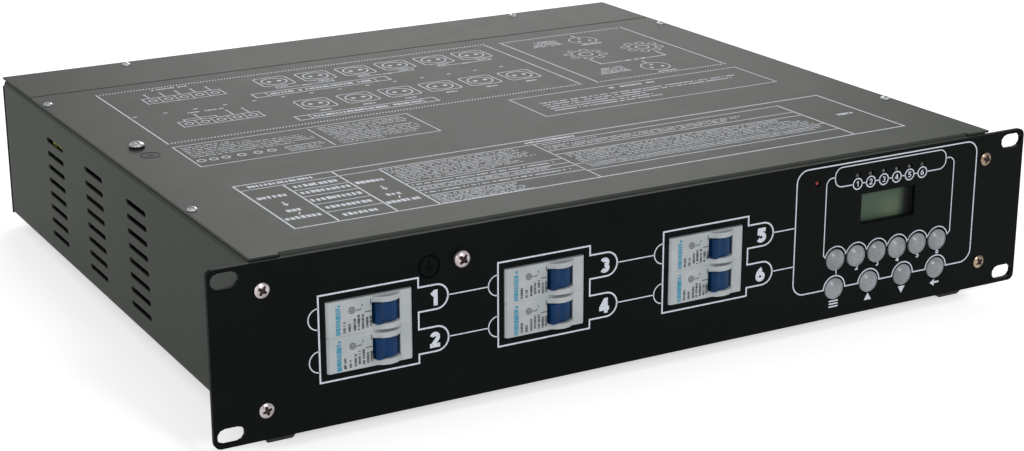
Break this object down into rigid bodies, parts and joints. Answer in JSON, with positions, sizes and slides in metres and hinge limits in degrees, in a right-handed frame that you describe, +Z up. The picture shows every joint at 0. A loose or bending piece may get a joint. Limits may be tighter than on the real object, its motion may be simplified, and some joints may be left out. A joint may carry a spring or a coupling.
{
  "type": "dimmer pack",
  "caption": "Two-unit rack dimmer pack with circuit breakers, push buttons and a display in front, safety outlets and control sockets behind, and vented steel sides.",
  "frame": {"origin": "middle of the outer box, at the underside of the rubber feet", "axes": "+X to the right as seen from the front, +Y to the back, +Z up"},
  "size_m": [0.4826, 0.4356, 0.0993],
  "materials": {
    "panel_paint": "fine black texture",
    "case_paint": "dark grey powder coat",
    "rubber": "matt",
    "nickel": "nickel plated",
    "breaker_plastic": "satin light grey",
    "toggle_plastic": "satin blue",
    "zinc_steel": "zinc plated",
    "button_plastic": "satin grey",
    "circuit_board": "green solder mask",
    "display_glass": "smooth",
    "outlet_plastic": "satin black",
    "black_plastic": "satin black",
    "aluminium": "extruded",
    "laminate": "varnished core",
    "terminal_plastic": "ivory",
    "earth_insulation": "green and yellow"
  },
  "bodies": {
    "case": {"front_panel": "panel_paint", "chassis_tray": "case_paint", "top_lid": "case_paint", "rear_top_cover": "case_paint", "rear_panel": "case_paint", "rubber_foot_1": "rubber", "rubber_foot_2": "rubber", "rubber_foot_3": "rubber", "rubber_foot_4": "rubber", "panel_screw_1": "nickel", "panel_screw_2": "nickel", "panel_screw_3": "nickel", "panel_screw_4": "nickel", "lid_screw_1": "nickel", "lid_screw_2": "nickel", "lid_screw_3": "nickel", "lid_screw_4": "nickel", "front_earth_screw": "nickel", "lid_earth_screw": "nickel", "breaker_1": "breaker_plastic", "breaker_2": "breaker_plastic", "breaker_3": "breaker_plastic", "breaker_4": "breaker_plastic", "breaker_5": "breaker_plastic", "breaker_6": "breaker_plastic", "breaker_bracket": "zinc_steel", "control_board": "circuit_board", "display_glass": "display_glass", "outlet_1": "outlet_plastic", "outlet_2": "outlet_plastic", "outlet_3": "outlet_plastic", "outlet_4": "outlet_plastic", "outlet_5": "outlet_plastic", "outlet_6": "outlet_plastic", "control_input": "black_plastic", "control_output": "black_plastic", "din_socket_1": "black_plastic", "din_socket_2": "black_plastic", "cable_gland": "black_plastic", "heat_sink": "aluminium", "power_board": "circuit_board", "mains_transformer": "laminate", "terminal_block": "terminal_plastic", "earth_wire": "earth_insulation"},
    "toggle_1": {"breaker_toggle_1": "toggle_plastic"},
    "toggle_2": {"breaker_toggle_2": "toggle_plastic"},
    "toggle_3": {"breaker_toggle_3": "toggle_plastic"},
    "toggle_4": {"breaker_toggle_4": "toggle_plastic"},
    "toggle_5": {"breaker_toggle_5": "toggle_plastic"},
    "toggle_6": {"breaker_toggle_6": "toggle_plastic"},
    "channel_key_1": {"channel_button_1": "button_plastic"},
    "channel_key_2": {"channel_button_2": "button_plastic"},
    "channel_key_3": {"channel_button_3": "button_plastic"},
    "channel_key_4": {"channel_button_4": "button_plastic"},
    "channel_key_5": {"channel_button_5": "button_plastic"},
    "channel_key_6": {"channel_button_6": "button_plastic"},
    "menu_key": {"menu_button": "button_plastic"},
    "up_key": {"up_button": "button_plastic"},
    "down_key": {"down_button": "button_plastic"},
    "back_key": {"back_button": "button_plastic"}
  },
  "joints": [
    {"name": "toggle_1_swing", "type": "hinge", "parent": "case", "child": "toggle_1", "pos_m": [-0.1519, -0.20563, 0.0602], "axis": [0, 0, 1], "range_deg": [0, 64]},
    {"name": "toggle_2_swing", "type": "hinge", "parent": "case", "child": "toggle_2", "pos_m": [-0.1519, -0.20563, 0.0422], "axis": [0, 0, 1], "range_deg": [0, 64]},
    {"name": "toggle_3_swing", "type": "hinge", "parent": "case", "child": "toggle_3", "pos_m": [-0.05615, -0.20563, 0.0602], "axis": [0, 0, 1], "range_deg": [0, 64]},
    {"name": "toggle_4_swing", "type": "hinge", "parent": "case", "child": "toggle_4", "pos_m": [-0.05615, -0.20563, 0.0422], "axis": [0, 0, 1], "range_deg": [0, 64]},
    {"name": "toggle_5_swing", "type": "hinge", "parent": "case", "child": "toggle_5", "pos_m": [0.0396, -0.20563, 0.0602], "axis": [0, 0, 1], "range_deg": [0, 64]},
    {"name": "toggle_6_swing", "type": "hinge", "parent": "case", "child": "toggle_6", "pos_m": [0.0396, -0.20563, 0.0422], "axis": [0, 0, 1], "range_deg": [0, 64]},
    {"name": "channel_key_1_press", "type": "slide", "parent": "case", "child": "channel_key_1", "axis": [0, 1, 0], "range_m": [0, 0.0005], "stiffness_N_per_m": 600},
    {"name": "channel_key_2_press", "type": "slide", "parent": "case", "child": "channel_key_2", "axis": [0, 1, 0], "range_m": [0, 0.0005], "stiffness_N_per_m": 600},
    {"name": "channel_key_3_press", "type": "slide", "parent": "case", "child": "channel_key_3", "axis": [0, 1, 0], "range_m": [0, 0.0005], "stiffness_N_per_m": 600},
    {"name": "channel_key_4_press", "type": "slide", "parent": "case", "child": "channel_key_4", "axis": [0, 1, 0], "range_m": [0, 0.0005], "stiffness_N_per_m": 600},
    {"name": "channel_key_5_press", "type": "slide", "parent": "case", "child": "channel_key_5", "axis": [0, 1, 0], "range_m": [0, 0.0005], "stiffness_N_per_m": 600},
    {"name": "channel_key_6_press", "type": "slide", "parent": "case", "child": "channel_key_6", "axis": [0, 1, 0], "range_m": [0, 0.0005], "stiffness_N_per_m": 600},
    {"name": "menu_key_press", "type": "slide", "parent": "case", "child": "menu_key", "axis": [0, 1, 0], "range_m": [0, 0.0005], "stiffness_N_per_m": 600},
    {"name": "up_key_press", "type": "slide", "parent": "case", "child": "up_key", "axis": [0, 1, 0], "range_m": [0, 0.0005], "stiffness_N_per_m": 600},
    {"name": "down_key_press", "type": "slide", "parent": "case", "child": "down_key", "axis": [0, 1, 0], "range_m": [0, 0.0005], "stiffness_N_per_m": 600},
    {"name": "back_key_press", "type": "slide", "parent": "case", "child": "back_key", "axis": [0, 1, 0], "range_m": [0, 0.0005], "stiffness_N_per_m": 600}
  ]
}
